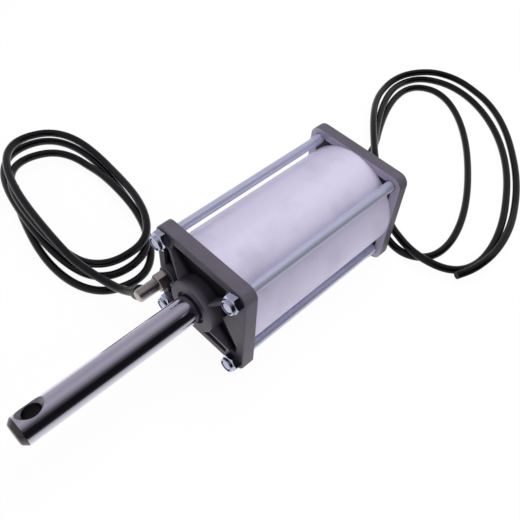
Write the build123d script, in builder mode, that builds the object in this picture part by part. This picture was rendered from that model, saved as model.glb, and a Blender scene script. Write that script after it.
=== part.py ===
from build123d import *
from math import cos, pi, radians, sin, tan
import os

# Double-acting tie-rod air cylinder, lying on its two square covers with the rod out, and its two hoses.
# X runs along the cylinder axis towards the rod eye, Y is across, Z is up, and the origin is on the axis
# at the nut face of the front cover. All lengths are in millimetres.

# Tube and covers
bore = 100.0
tube_wall = 3.0
tube_length = 178.2
tie_rod_gap = 3.856
tie_shank = 8.9
tie_edge = 10.65
cover_corner = 10.0
cover_edge_round = 1.6
front_plate = 13.0
rear_plate = 12.0

# Spigots that centre the tube, and their O-rings
spigot_length = 8.0
spigot_wall = 5.4
spigot_clearance = 0.1
cover_seal_section = 2.7
seal_groove_slack = 0.1

# Cast faces of the covers
rim_width = 8.5
pocket_depth = 6.0
pocket_corner = 6.0
nut_boss_radius = 11.2
rib_thin = 2.2
rib_thick = 4.6
rib_sink = 1.4
rib_drop = 2.8
rib_end_rise = 0.5
pad_reach = 28.0
pad_tip_height = 5.0
pad_half_length = 39.0

# Hubs in the middle of the covers
hub_radius = 25.4
hub_rise = 10.8
hub_edge_round = 1.2
hub_draft = 0.3
guide_boss_radius = 22.0
guide_boss_length = 7.0
rear_hub_radius = 20.0
rear_hub_rise = 3.0

# Tie rods, screwed into the rear cover, and their lock nuts on the front cover
tie_thread = 10.0
tie_hole_clearance = 0.25
tie_hole_mouth = 0.8
tie_hole_end_wall = 2.0
tie_end_inside_nut = 0.7
tie_end_chamfer = 0.8
rear_thread_shown = 10.0
nut_flats = 16.0
nut_hex_height = 6.9
nut_collar_height = 3.4
nut_turn = 10.0
nut_collar_to_flats = 0.89
nut_collar_wall_to_flats = 0.09
nut_mouth_to_flats = 0.05
nut_lip_share = 0.3
nut_collar_round_share = 0.45
thread_clearance = 0.05

# Piston rod and its cross hole
rod_diameter = 26.0
rod_reach = 177.0
rod_end_chamfer = 4.7
rod_end_drop = 3.8
rod_end_round = 1.6
eye_diameter = 16.0
eye_from_end = 18.4
eye_mouth_diameter = 24.0
eye_mouth_angle = 90.0
eye_tilt = 22.0

# Rod bush, seal and wiper
running_clearance = 0.05
bush_wall = 1.95
gland_seat_wall = 3.2
wiper_recess = 3.3
wiper_width = 4.5
wiper_lip_rise = 1.2
rod_seal_width = 6.0
rod_seal_groove = 3.6
seal_lip_wall = 1.0

# Piston
piston_width = 24.0
piston_clearance = 0.5
piston_start_gap = 1.0
piston_edge_bevel = 1.5
piston_face_recess = 4.0
piston_web_reach = 12.0
piston_seal_width = 5.0
piston_seal_depth = 5.5
piston_seal_inset = 2.5
piston_seal_lip = 1.8
wear_ring_width = 6.0
wear_ring_depth = 2.5
side_clearance = 0.1
rod_stud_diameter = 16.0
rod_ring_section = 1.8
piston_washer_width = 2.5
piston_washer_diameter = 30.0
piston_nut_flats = 24.0
piston_nut_hex_height = 7.0
piston_nut_collar_height = 3.0
stud_past_nut = 1.5

# Ports and fittings
port_offset = 38.5
port_boss_radius = 10.0
port_boss_rise = 5.0
port_edge_round = 1.0
port_thread = 9.7
port_washer_width = 1.0
port_washer_diameter = 14.0
air_way = 5.0
fitting_flats = 14.5
fitting_hex_length = 10.0
fitting_barrel = 12.0
fitting_neck = 10.6
fitting_neck_length = 1.0
fitting_barrel_length = 21.0
fitting_barrel_round = 2.4
fitting_leg_from_end = 8.0
fitting_leg = 10.4
fitting_leg_reach = 9.0
hose_collar_diameter = 13.6
hose_collar_length = 8.0
hose_collar_round = 1.0
front_leg_angle = 45.0
rear_leg_angle = 90.0

# Hoses
hose_diameter = 8.0
bend_share = 0.45
coil_layers = 2.6
coil_room = 1.0

# Planes and places worked out from the sizes
rod_square = (bore / 2 + tube_wall + tie_rod_gap + tie_shank / 2) / 2**0.5
rod_pitch = 2 * rod_square
cover_side = rod_pitch + 2 * tie_edge
front_seat = -front_plate
rear_seat = front_seat - tube_length
rear_face = rear_seat - rear_plate
floor_height = -cover_side / 2
bore_radius = bore / 2
rod_radius = rod_diameter / 2
pocket_side = cover_side - 2 * rim_width
spigot_radius = bore_radius - spigot_clearance
front_plane = Plane(origin=(0, 0, 0), x_dir=(0, 1, 0), z_dir=(1, 0, 0))
rear_plane = Plane(origin=(rear_face, 0, 0), x_dir=(0, 1, 0), z_dir=(-1, 0, 0))
bush_radius = rod_radius + running_clearance + bush_wall
gland_radius = rod_radius + gland_seat_wall
wiper_front = hub_rise - wiper_recess
seal_front = wiper_front - wiper_width
gland_end = seal_front - rod_seal_width
guide_end = front_seat - guide_boss_length
piston_front = front_seat - spigot_length - piston_start_gap
piston_rear = piston_front - piston_width
piston_radius = bore_radius - piston_clearance
eye_x = rod_reach - eye_from_end
eye_axis = Vector(0, -sin(radians(eye_tilt)), cos(radians(eye_tilt)))

os.makedirs("parts", exist_ok=True)


def keep(piece, name):
    """Label a finished piece and write its file."""
    piece.part.label = name
    export_step(piece.part, f"parts/{name}.step")


def ring(start, end, inner, outer, mode=Mode.ADD):
    """Turn a plain ring about the cylinder axis, from one place on X to another."""
    with BuildSketch(Plane.XZ) as outline:
        with Locations(((start + end) / 2, (inner + outer) / 2)):
            Rectangle(abs(end - start), outer - inner)
    revolve(outline.sketch, axis=Axis.X, mode=mode)


def turned(corners, mode=Mode.ADD):
    """Turn an outline of (place on X, radius) corners about the cylinder axis."""
    with BuildSketch(Plane.XZ) as outline:
        with BuildLine():
            Polyline(*corners, close=True)
        make_face()
    revolve(outline.sketch, axis=Axis.X, mode=mode)


def face_section(face):
    """Give the plane through the axis, with its X across the face and its Y outward."""
    return Plane(origin=face.origin, x_dir=face.x_dir, z_dir=-face.y_dir)


def port_plane(face, height):
    """Give the plane across a port's axis, at a height above the cover's outer face."""
    return Plane(
        origin=face.origin - face.x_dir * port_offset + face.z_dir * height,
        x_dir=face.x_dir,
        z_dir=face.z_dir,
    )


def cast_plate(face, plate):
    """Make the rounded square plate behind a cover's outer face, with a soft outer edge."""
    outward = Axis(face.origin, face.z_dir)
    with BuildSketch(face) as outline:
        RectangleRounded(cover_side, cover_side, cover_corner)
    extrude(outline.sketch, amount=-plate)
    fillet(faces().sort_by(outward)[-1].edges(), cover_edge_round)


def cast_pockets(face, hub):
    """Sink the pockets between rim, hub, nut bosses, port boss and pad."""
    with BuildSketch(face) as outline:
        RectangleRounded(pocket_side, pocket_side, pocket_corner)
        Circle(hub, mode=Mode.SUBTRACT)
        with GridLocations(rod_pitch, rod_pitch, 2, 2):
            Circle(nut_boss_radius, mode=Mode.SUBTRACT)
        with Locations((-port_offset, 0)):
            Circle(port_boss_radius, mode=Mode.SUBTRACT)
        with BuildLine():
            Polyline(
                (pad_reach, pad_tip_height),
                (cover_side / 2, pad_tip_height - pad_half_length),
                (cover_side / 2, pad_tip_height + pad_half_length),
                close=True,
            )
        make_face(mode=Mode.SUBTRACT)
    extrude(outline.sketch, amount=-pocket_depth, mode=Mode.SUBTRACT)


def cast_hub(face, hub, rise):
    """Raise the round hub from the pocket floor, slightly drafted and rounded at its end."""
    with BuildSketch(face_section(face)) as outline:
        with BuildLine():
            Polyline((0, -pocket_depth), (hub + hub_draft, -pocket_depth), (hub, rise), (0, rise), close=True)
        make_face()
        fillet(vertices().sort_by(Axis.Y)[-2:].sort_by(Axis.X)[-1], hub_edge_round)
    revolve(outline.sketch, axis=Axis(face.origin, face.z_dir))


def cast_ribs(face, hub, rise):
    """Run four ribs from the hub down to the nut bosses, thin at the hub and thick at the bosses."""
    boss_reach = rod_square * 2**0.5 - nut_boss_radius
    stations = (
        (hub - rib_sink, rib_thin, pocket_depth + rise - rib_drop),
        (boss_reach + rib_sink, rib_thick, pocket_depth + rib_end_rise),
    )
    for angle in (45, 135, 225, 315):
        along = face.x_dir * cos(radians(angle)) + face.y_dir * sin(radians(angle))
        ends = []
        for reach, width, height in stations:
            base = face.origin + along * reach - face.z_dir * pocket_depth
            with BuildSketch(Plane(origin=base, x_dir=face.z_dir, z_dir=along)) as outline:
                Rectangle(height, width, align=(Align.MIN, Align.CENTER))
            ends.append(outline.sketch)
        loft(ends)


def cast_port(face, plate):
    """Raise the round port boss and drill its thread hole through to the chamber."""
    with BuildSketch(face_section(port_plane(face, 0))) as outline:
        with BuildLine():
            Polyline(
                (0, -pocket_depth),
                (port_boss_radius, -pocket_depth),
                (port_boss_radius, port_boss_rise),
                (0, port_boss_rise),
                close=True,
            )
        make_face()
        fillet(vertices().sort_by(Axis.Y)[-2:].sort_by(Axis.X)[-1], port_edge_round)
    revolve(outline.sketch, axis=Axis(port_plane(face, 0).origin, face.z_dir))
    with BuildSketch(port_plane(face, port_boss_rise)) as outline:
        Circle(port_thread / 2 + thread_clearance)
    extrude(outline.sketch, amount=-(plate + port_boss_rise), mode=Mode.SUBTRACT)


def cast_spigot(seat, inward):
    """Make the ring that enters the tube, with the groove of its O-ring."""
    tip = seat + inward * spigot_length
    ring(seat, tip, spigot_radius - spigot_wall, spigot_radius)
    groove_width = cover_seal_section + 2 * seal_groove_slack
    middle = seat + inward * spigot_length / 2
    groove_floor = bore_radius - cover_seal_section - 2 * seal_groove_slack
    ring(middle - groove_width / 2, middle + groove_width / 2, groove_floor, bore_radius, Mode.SUBTRACT)


def drill_tie_holes(face, plate):
    """Drill the four clearance holes of the tie rods."""
    with BuildSketch(face.offset(rib_end_rise)) as outline:
        with GridLocations(rod_pitch, rod_pitch, 2, 2):
            Circle(tie_thread / 2 + tie_hole_clearance)
    extrude(outline.sketch, amount=-(plate + rib_end_rise), mode=Mode.SUBTRACT)


def tap_tie_holes(seat, plate):
    """Tap four blind holes for the tie rods in the inner face of a cover, with bevelled mouths."""
    radius = tie_thread / 2 + thread_clearance
    bottom = tie_hole_end_wall - plate
    for y in (-rod_square, rod_square):
        for z in (-rod_square, rod_square):
            section = Plane(origin=(seat, y, z), x_dir=(1, 0, 0), z_dir=(0, -1, 0))
            with BuildSketch(section) as outline:
                with BuildLine():
                    Polyline(
                        (0, 0),
                        (0, radius + tie_hole_mouth),
                        (-tie_hole_mouth, radius),
                        (bottom, radius),
                        (bottom, 0),
                        close=True,
                    )
                make_face()
            revolve(outline.sketch, axis=Axis((seat, y, z), (1, 0, 0)), mode=Mode.SUBTRACT)


def lock_nut(thread, flats, hex_height, collar_height):
    """Make a hexagon lock nut standing on Z = 0, with bevelled corners and a rolled collar."""
    corner = flats / 2 / cos(radians(30))
    bevel = corner - flats / 2
    collar_radius = flats * nut_collar_to_flats / 2
    pocket_radius = collar_radius - flats * nut_collar_wall_to_flats
    mouth_radius = thread / 2 + flats * nut_mouth_to_flats
    lip = collar_height * nut_lip_share
    top = hex_height + collar_height
    with BuildSketch() as outline:
        RegularPolygon(flats / 2, 6, major_radius=False, rotation=nut_turn)
    extrude(outline.sketch, amount=hex_height)
    with BuildSketch(Plane.XZ) as outline:
        with BuildLine():
            Polyline(
                (0, 0),
                (flats / 2, 0),
                (corner, bevel / 2),
                (corner, hex_height - bevel),
                (flats / 2 - bevel / 2, hex_height),
                (0, hex_height),
                close=True,
            )
        make_face()
    revolve(outline.sketch, axis=Axis.Z, mode=Mode.INTERSECT)
    with BuildSketch(Plane.XZ) as outline:
        with BuildLine():
            Polyline(
                (0, hex_height), (collar_radius, hex_height), (collar_radius, top), (0, top), close=True
            )
        make_face()
        fillet(vertices().sort_by(Axis.Y)[-2:].sort_by(Axis.X)[-1], collar_height * nut_collar_round_share)
    revolve(outline.sketch, axis=Axis.Z)
    with BuildSketch() as outline:
        Circle(thread / 2 + thread_clearance)
    extrude(outline.sketch, amount=hex_height, mode=Mode.SUBTRACT)
    with BuildSketch(Plane.XY.offset(hex_height)) as outline:
        Circle(pocket_radius)
    extrude(outline.sketch, amount=collar_height - lip, mode=Mode.SUBTRACT)
    with BuildSketch(Plane.XY.offset(top)) as outline:
        Circle(mouth_radius)
    extrude(outline.sketch, amount=-lip, mode=Mode.SUBTRACT)


def nut_insert(thread, flats, hex_height, collar_height):
    """Make the plastic ring in a lock nut's collar, at the place it has in the nut."""
    with BuildSketch(Plane.XY.offset(hex_height)) as outline:
        Circle(flats * (nut_collar_to_flats / 2 - nut_collar_wall_to_flats))
        Circle(thread / 2 + thread_clearance, mode=Mode.SUBTRACT)
    extrude(outline.sketch, amount=collar_height * (1 - nut_lip_share))


# Front cover: cast plate with pockets, hub, ribs and port boss; behind it the tube spigot and guide boss
with BuildPart() as front_cover:
    cast_plate(front_plane, front_plate)
    cast_pockets(front_plane, hub_radius)
    cast_hub(front_plane, hub_radius, hub_rise)
    cast_ribs(front_plane, hub_radius, hub_rise)
    cast_port(front_plane, front_plate)
    cast_spigot(front_seat, -1)
    ring(front_seat, guide_end, 0, guide_boss_radius)
    drill_tie_holes(front_plane, front_plate)
    ring(guide_end, hub_rise, 0, bush_radius, Mode.SUBTRACT)
    ring(gland_end, hub_rise, 0, gland_radius, Mode.SUBTRACT)
keep(front_cover, "front_cover")

# Rear cover: the same casting with a low closed hub and blind tapped holes for the tie rods
with BuildPart() as rear_cover:
    cast_plate(rear_plane, rear_plate)
    cast_pockets(rear_plane, rear_hub_radius)
    cast_hub(rear_plane, rear_hub_radius, rear_hub_rise)
    cast_ribs(rear_plane, rear_hub_radius, rear_hub_rise)
    cast_port(rear_plane, rear_plate)
    cast_spigot(rear_seat, 1)
    tap_tie_holes(rear_seat, rear_plate)
keep(rear_cover, "rear_cover")

# Barrel tube, butted between the covers, with a lead-in bevel at each end of its bore
with BuildPart() as barrel_tube:
    ring(rear_seat, front_seat, bore_radius, bore_radius + tube_wall)
    bore_ends = edges().filter_by(GeomType.CIRCLE).sort_by(SortBy.RADIUS)[:2]
    chamfer(bore_ends, tube_wall / 4)
keep(barrel_tube, "barrel_tube")

# O-rings between the spigots and the tube
for name, middle in (
    ("front_cover_seal", front_seat - spigot_length / 2),
    ("rear_cover_seal", rear_seat + spigot_length / 2),
):
    with BuildPart() as cover_seal:
        with BuildSketch(Plane.XZ):
            with Locations((middle, bore_radius - cover_seal_section / 2 - seal_groove_slack)):
                Circle(cover_seal_section / 2)
        revolve(axis=Axis.X)
    keep(cover_seal, name)

# Tie rods: thinner rolled shanks between threaded ends, the rear ends in the rear cover
tie_front = nut_hex_height + nut_collar_height - tie_end_inside_nut
tie_rear = rear_face + tie_hole_end_wall
with BuildPart() as tie_rods:
    for start, end, diameter in (
        (tie_front, front_seat, tie_thread),
        (front_seat, rear_seat + rear_thread_shown, tie_shank),
        (rear_seat + rear_thread_shown, tie_rear, tie_thread),
    ):
        with BuildSketch(Plane(origin=(start, 0, 0), x_dir=(0, 1, 0), z_dir=(1, 0, 0))):
            with GridLocations(rod_pitch, rod_pitch, 2, 2):
                Circle(diameter / 2)
        extrude(amount=end - start)
    tips = faces().sort_by(Axis.X)[:4] + faces().sort_by(Axis.X)[-4:]
    chamfer(tips.edges(), tie_end_chamfer)
keep(tie_rods, "tie_rods")

# Lock nuts and their plastic inserts, four on the front cover
with BuildPart() as one_nut:
    lock_nut(tie_thread, nut_flats, nut_hex_height, nut_collar_height)
with BuildPart() as one_insert:
    nut_insert(tie_thread, nut_flats, nut_hex_height, nut_collar_height)
for name, single in (("tie_rod_nuts", one_nut), ("tie_rod_nut_inserts", one_insert)):
    with BuildPart(front_plane) as nut_set:
        with GridLocations(rod_pitch, rod_pitch, 2, 2):
            add(single.part)
    keep(nut_set, name)

# Rod bush, pressed into the guide bore behind the seal
with BuildPart() as rod_bush:
    ring(guide_end, gland_end, rod_radius + running_clearance, bush_radius)
keep(rod_bush, "rod_bush")

# Rod seal: a lipped ring, open towards the chamber
groove_middle = (rod_radius + gland_radius) / 2
with BuildPart() as rod_seal:
    turned(
        (
            (seal_front, rod_radius + running_clearance),
            (seal_front, gland_radius),
            (gland_end, gland_radius),
            (gland_end, gland_radius - seal_lip_wall),
            (gland_end + rod_seal_groove, groove_middle),
            (gland_end, rod_radius + seal_lip_wall),
            (gland_end, rod_radius + running_clearance),
        )
    )
keep(rod_seal, "rod_seal")

# Rod wiper: a ring with a lip that leans out along the rod
with BuildPart() as rod_wiper:
    turned(
        (
            (seal_front, rod_radius + running_clearance),
            (seal_front, gland_radius),
            (wiper_front, gland_radius),
            (wiper_front, groove_middle),
            (wiper_front + wiper_lip_rise, rod_radius + seal_lip_wall),
            (wiper_front + wiper_lip_rise, rod_radius + running_clearance),
        )
    )
keep(rod_wiper, "rod_wiper")

# Piston rod: shank with a bevelled end and a countersunk cross hole, and a stud that carries the piston
piston_nut_seat = piston_rear - piston_washer_width
stud_end = piston_nut_seat - piston_nut_hex_height - piston_nut_collar_height - stud_past_nut
with BuildPart() as piston_rod:
    ring(piston_front, rod_reach, 0, rod_radius)
    rod_end = edges().filter_by(GeomType.CIRCLE).sort_by(Axis.X)[-1]
    chamfer(rod_end, rod_end_chamfer, rod_end_drop, reference=faces().sort_by(Axis.X)[-2])
    fillet(edges().filter_by(GeomType.CIRCLE).sort_by(Axis.X)[-2:], rod_end_round)
    ring(stud_end, piston_front, 0, rod_stud_diameter / 2)
    chamfer(edges().filter_by(GeomType.CIRCLE).sort_by(Axis.X)[0], tie_end_chamfer)
    for side in (-1, 1):
        outside = eye_axis * (side * rod_radius) + Vector(eye_x, 0, 0)
        with Locations(Plane(origin=outside, x_dir=(1, 0, 0), z_dir=eye_axis * side)):
            CounterSinkHole(eye_diameter / 2, eye_mouth_diameter / 2, rod_radius, eye_mouth_angle)
keep(piston_rod, "piston_rod")

# Piston: two seal grooves, a wear ring groove between them and a shallow recess in each face
piston_middle = (piston_front + piston_rear) / 2
seal_floor = bore_radius - piston_seal_depth
wear_floor = bore_radius - wear_ring_depth
seal_room = piston_seal_width + 2 * side_clearance
wear_room = wear_ring_width + 2 * side_clearance
front_groove = piston_front - piston_seal_inset - seal_room / 2
rear_groove = piston_rear + piston_seal_inset + seal_room / 2
recess_outer = seal_floor - piston_washer_width
hub_of_piston = piston_washer_diameter / 2 + piston_washer_width
with BuildPart() as piston:
    ring(piston_rear, piston_front, rod_stud_diameter / 2, piston_radius)
    rims = edges().filter_by(GeomType.CIRCLE).sort_by(SortBy.RADIUS)[-2:]
    chamfer(rims, piston_edge_bevel)
    for middle in (front_groove, rear_groove):
        ring(middle - seal_room / 2, middle + seal_room / 2, seal_floor, bore_radius, Mode.SUBTRACT)
    ring(piston_middle - wear_room / 2, piston_middle + wear_room / 2, wear_floor, bore_radius, Mode.SUBTRACT)
    ring(piston_front - piston_face_recess, piston_front, hub_of_piston, recess_outer, Mode.SUBTRACT)
    ring(piston_rear, piston_rear + piston_face_recess, hub_of_piston, recess_outer, Mode.SUBTRACT)
    ring(
        piston_middle - rod_ring_section / 2 - seal_groove_slack,
        piston_middle + rod_ring_section / 2 + seal_groove_slack,
        rod_stud_diameter / 2,
        rod_stud_diameter / 2 + rod_ring_section + seal_groove_slack,
        Mode.SUBTRACT,
    )
keep(piston, "piston")

# O-ring between the piston and the rod's stud
with BuildPart() as piston_rod_ring:
    with BuildSketch(Plane.XZ):
        with Locations((piston_middle, rod_stud_diameter / 2 + rod_ring_section / 2)):
            Circle(rod_ring_section / 2)
    revolve(axis=Axis.X)
keep(piston_rod_ring, "piston_rod_ring")

# Washer and lock nut that hold the piston on the rod
with BuildPart() as piston_washer:
    ring(piston_nut_seat, piston_rear, rod_stud_diameter / 2, piston_washer_diameter / 2)
keep(piston_washer, "piston_washer")
with BuildPart() as stud_nut:
    lock_nut(rod_stud_diameter, piston_nut_flats, piston_nut_hex_height, piston_nut_collar_height)
with BuildPart(Plane(origin=(piston_nut_seat, 0, 0), x_dir=(0, 1, 0), z_dir=(-1, 0, 0))) as piston_nut:
    add(stud_nut.part)
keep(piston_nut, "piston_nut")

# Piston seals: lipped rings, each open towards its own chamber
seal_inner = seal_floor + running_clearance
seal_outer = bore_radius - running_clearance
seal_middle = (seal_inner + seal_outer) / 2
for name, middle, open_way in (
    ("front_piston_seal", front_groove, 1),
    ("rear_piston_seal", rear_groove, -1),
):
    back = middle - open_way * piston_seal_width / 2
    mouth = middle + open_way * piston_seal_width / 2
    with BuildPart() as piston_seal:
        turned(
            (
                (back, seal_inner),
                (back, seal_outer),
                (mouth, seal_outer),
                (mouth, seal_outer - piston_seal_lip),
                (middle, seal_middle),
                (mouth, seal_inner + piston_seal_lip),
                (mouth, seal_inner),
            )
        )
    keep(piston_seal, name)

# Wear ring that guides the piston in the bore
with BuildPart() as piston_wear_ring:
    ring(
        piston_middle - wear_ring_width / 2,
        piston_middle + wear_ring_width / 2,
        wear_floor + running_clearance,
        seal_outer,
    )
keep(piston_wear_ring, "piston_wear_ring")


def leg_plane(face, angle, reach):
    """Give the plane across a fitting's leg, at a distance from the barrel's axis."""
    hex_end = port_boss_rise + port_washer_width + fitting_hex_length
    height = hex_end + fitting_barrel_length - fitting_leg_from_end
    centre = port_plane(face, height).origin
    away = Vector(0, -cos(radians(angle)), -sin(radians(angle)))
    return Plane(origin=centre + away * reach, x_dir=(1, 0, 0), z_dir=away)


hose_exits = {}
for side, face, plate, angle in (
    ("front", front_plane, front_plate, front_leg_angle),
    ("rear", rear_plane, rear_plate, rear_leg_angle),
):
    # Sealing washer between the port boss and the fitting's hexagon
    with BuildPart() as port_washer:
        with BuildSketch(port_plane(face, port_boss_rise)):
            Circle(port_washer_diameter / 2)
            Circle(port_thread / 2 + thread_clearance, mode=Mode.SUBTRACT)
        extrude(amount=port_washer_width)
    keep(port_washer, f"{side}_port_washer")

    # Threaded stem with its hexagon
    hex_start = port_boss_rise + port_washer_width
    hex_end = hex_start + fitting_hex_length
    with BuildPart() as fitting_stem:
        with BuildSketch(port_plane(face, -plate / 2)):
            Circle(port_thread / 2)
        extrude(amount=plate / 2 + hex_start)
        with BuildSketch(port_plane(face, hex_start)):
            RegularPolygon(fitting_flats / 2, 6, major_radius=False, rotation=nut_turn)
        extrude(amount=fitting_hex_length)
        outward = Axis(face.origin, face.z_dir)
        chamfer(faces().sort_by(outward)[-1].edges(), port_edge_round / 2)
        with BuildSketch(port_plane(face, -plate / 2)):
            Circle(air_way / 2)
        extrude(amount=plate / 2 + hex_end, mode=Mode.SUBTRACT)
    keep(fitting_stem, f"{side}_fitting_stem")

    # Elbow: a short neck, the round barrel and the leg that turns aside
    neck_end = hex_end + fitting_neck_length
    barrel_end = hex_end + fitting_barrel_length
    with BuildPart() as fitting_elbow:
        with BuildSketch(port_plane(face, hex_end)):
            Circle(fitting_neck / 2)
        extrude(amount=fitting_neck_length)
        with BuildSketch(port_plane(face, neck_end)):
            Circle(fitting_barrel / 2)
        extrude(amount=barrel_end - neck_end)
        fillet(faces().sort_by(outward)[-1].edges(), fitting_barrel_round)
        with BuildSketch(leg_plane(face, angle, 0)):
            Circle(fitting_leg / 2)
        extrude(amount=fitting_leg_reach)
        with BuildSketch(port_plane(face, hex_end)):
            Circle(air_way / 2)
        extrude(amount=fitting_barrel_length - fitting_leg_from_end, mode=Mode.SUBTRACT)
        with BuildSketch(leg_plane(face, angle, 0)):
            Circle(air_way / 2)
        extrude(amount=fitting_leg_reach, mode=Mode.SUBTRACT)
    keep(fitting_elbow, f"{side}_fitting_elbow")

    # Collar that grips the hose at the end of the leg
    with BuildPart() as hose_collar:
        with BuildSketch(leg_plane(face, angle, fitting_leg_reach)):
            Circle(hose_collar_diameter / 2)
        extrude(amount=hose_collar_length)
        fillet(edges().filter_by(GeomType.CIRCLE), hose_collar_round)
    keep(hose_collar, f"{side}_hose_collar")
    hose_exits[side] = leg_plane(face, angle, fitting_leg_reach + hose_collar_length).origin

# Hoses: the stretch from each fitting to its coil, as points along the middle of the hose
hose_rest = floor_height + hose_diameter / 2
front_lead_route = (
    (29.0, -64.0, -25.5),
    (33.0, -81.0, -38.5),
    (37.0, -100.0, -47.5),
    (41.0, -120.0, hose_rest),
    (43.0, -140.0, hose_rest),
)
rear_lead_route = (
    (-232.2, -38.5, -29.0),
    (-236.6, -37.9, -40.4),
    (-247.5, -37.0, -48.0),
    (-264.0, -38.0, hose_rest),
    (-283.0, -43.0, hose_rest),
    (-301.0, -50.0, hose_rest),
)


def bend_radii(points):
    """Give each corner of a hose route the arc that its shorter run allows."""
    radii = []
    for before, corner, after in zip(points, points[1:], points[2:]):
        run_in = Vector(*corner) - Vector(*before)
        run_out = Vector(*after) - Vector(*corner)
        half_turn = radians(run_in.get_angle(run_out)) / 2
        radii.append(bend_share * min(run_in.length, run_out.length) / tan(half_turn))
    return radii


for side, route in (("front", front_lead_route), ("rear", rear_lead_route)):
    points = [tuple(hose_exits[side]), *route]
    radii = bend_radii(points)
    with BuildPart() as hose_lead:
        with BuildLine():
            middle_line = FilletPolyline(*points, radius=radii)
        with BuildSketch(Plane(origin=middle_line @ 0, z_dir=middle_line % 0)):
            Circle(hose_diameter / 2)
        sweep()
    keep(hose_lead, f"{side}_hose_lead")
    section = pi * hose_diameter**2 / 4
    share = hose_lead.part.volume / (section * middle_line.length)
    print(side, "lead length", round(middle_line.length, 1), "volume share", round(share, 4))
    print(side, "bend radii", [round(radius, 1) for radius in radii])

# Hose coils: the outer shape of the loose turns that lie on the floor
coil_height = coil_layers * hose_diameter
front_coil_middle = (-11.0, -208.0)
front_coil_reach = (131.0, 62.0)
front_coil_hole_middle = (-5.0, -203.0)
front_coil_hole = (103.0, 32.0)
front_coil_heading = -97.0
rear_coil_middle = (-366.0, 10.0)
rear_coil_reach = (189.0, 92.0)
rear_coil_hole_middle = (-348.0, -3.0)
rear_coil_hole = (140.0, 44.0)
rear_coil_heading = 33.0

for side, middle, reach, hole_middle, hole, heading in (
    ("front", front_coil_middle, front_coil_reach, front_coil_hole_middle, front_coil_hole, front_coil_heading),
    ("rear", rear_coil_middle, rear_coil_reach, rear_coil_hole_middle, rear_coil_hole, rear_coil_heading),
):
    with BuildPart() as hose_coil:
        with BuildSketch(Plane.XY.offset(floor_height)):
            with Locations(middle):
                Ellipse(*reach, rotation=heading)
        extrude(amount=coil_height)
        fillet(faces().sort_by(Axis.Z)[-1].edges(), hose_diameter / 2)
        with BuildSketch(Plane.XY.offset(floor_height)):
            with Locations(hole_middle):
                Ellipse(*hole, rotation=heading)
            with Locations((rear_face - coil_room, cover_side / 2 + coil_room)):
                Rectangle(cover_side, cover_side, align=(Align.MIN, Align.MAX))
        extrude(amount=coil_height, mode=Mode.SUBTRACT)
    keep(hose_coil, f"{side}_hose_coil")
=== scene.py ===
"""Tie-rod air cylinder with its two hoses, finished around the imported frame, on a white table."""

from math import copysign, cos, hypot, pi, radians, sin, sqrt, tau

import bmesh
import bpy
from mathutils import Matrix, Vector


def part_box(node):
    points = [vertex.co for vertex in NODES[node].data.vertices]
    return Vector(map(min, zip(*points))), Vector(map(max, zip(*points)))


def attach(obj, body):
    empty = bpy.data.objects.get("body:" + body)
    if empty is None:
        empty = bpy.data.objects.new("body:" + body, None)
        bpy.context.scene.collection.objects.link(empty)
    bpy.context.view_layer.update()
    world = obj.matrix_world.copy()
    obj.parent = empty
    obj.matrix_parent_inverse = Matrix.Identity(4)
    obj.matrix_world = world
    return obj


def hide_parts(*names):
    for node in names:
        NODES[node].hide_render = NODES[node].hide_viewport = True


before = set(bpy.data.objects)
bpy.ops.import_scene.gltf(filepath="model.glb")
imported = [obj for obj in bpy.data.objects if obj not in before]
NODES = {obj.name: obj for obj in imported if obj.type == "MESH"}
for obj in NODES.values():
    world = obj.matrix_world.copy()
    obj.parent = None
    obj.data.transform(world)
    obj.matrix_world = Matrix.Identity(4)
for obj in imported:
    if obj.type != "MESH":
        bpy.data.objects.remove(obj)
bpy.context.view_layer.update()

bl_info = {
    "name": "Tie-rod air cylinder",
    "version": (1, 0, 0),
    "blender": (4, 5, 0),
    "location": "View3D > Sidebar > Air cylinder",
    "description": "Finishes the cylinder, threads its tie rods and lays its hoses on a white table",
    "category": "Object",
}

MM = 0.001

# Places read from the frame, whose origin is on the front cover's outer face
TIE_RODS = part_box("tie_rods")
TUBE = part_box("barrel_tube")
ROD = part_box("piston_rod")
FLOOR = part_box("front_cover")[0].z
FRONT_FACE = 0.0
# The rear cover's outer face lies a plate's thickness behind the tube
REAR_PLATE = 0.012
REAR_FACE = TUBE[0].x - REAR_PLATE


class CylinderCamera(bpy.types.PropertyGroup):
    """Where the camera stands and what it takes in."""

    place: bpy.props.FloatVectorProperty(
        name="Place", description="Where the lens is",
        default=(0.1987, 0.2437, 0.4355), size=3, subtype="TRANSLATION",
    )
    heading: bpy.props.FloatProperty(
        name="Heading", description="Turn about the upright axis", default=radians(130.468), subtype="ANGLE"
    )
    height: bpy.props.FloatProperty(
        name="Height", description="Angle above the table", default=radians(52.673), subtype="ANGLE"
    )
    roll: bpy.props.FloatProperty(
        name="Roll", description="Turn about the line of sight", default=radians(5.755), subtype="ANGLE"
    )
    focal_length: bpy.props.FloatProperty(
        name="Focal length", description="Lens length in millimetres on a 36 mm frame",
        default=43.539, min=1.0,
    )
    shift: bpy.props.FloatVectorProperty(
        name="Shift", description="Sideways and upward shift of the frame", default=(-0.0162, 0.0503), size=2
    )


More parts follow.
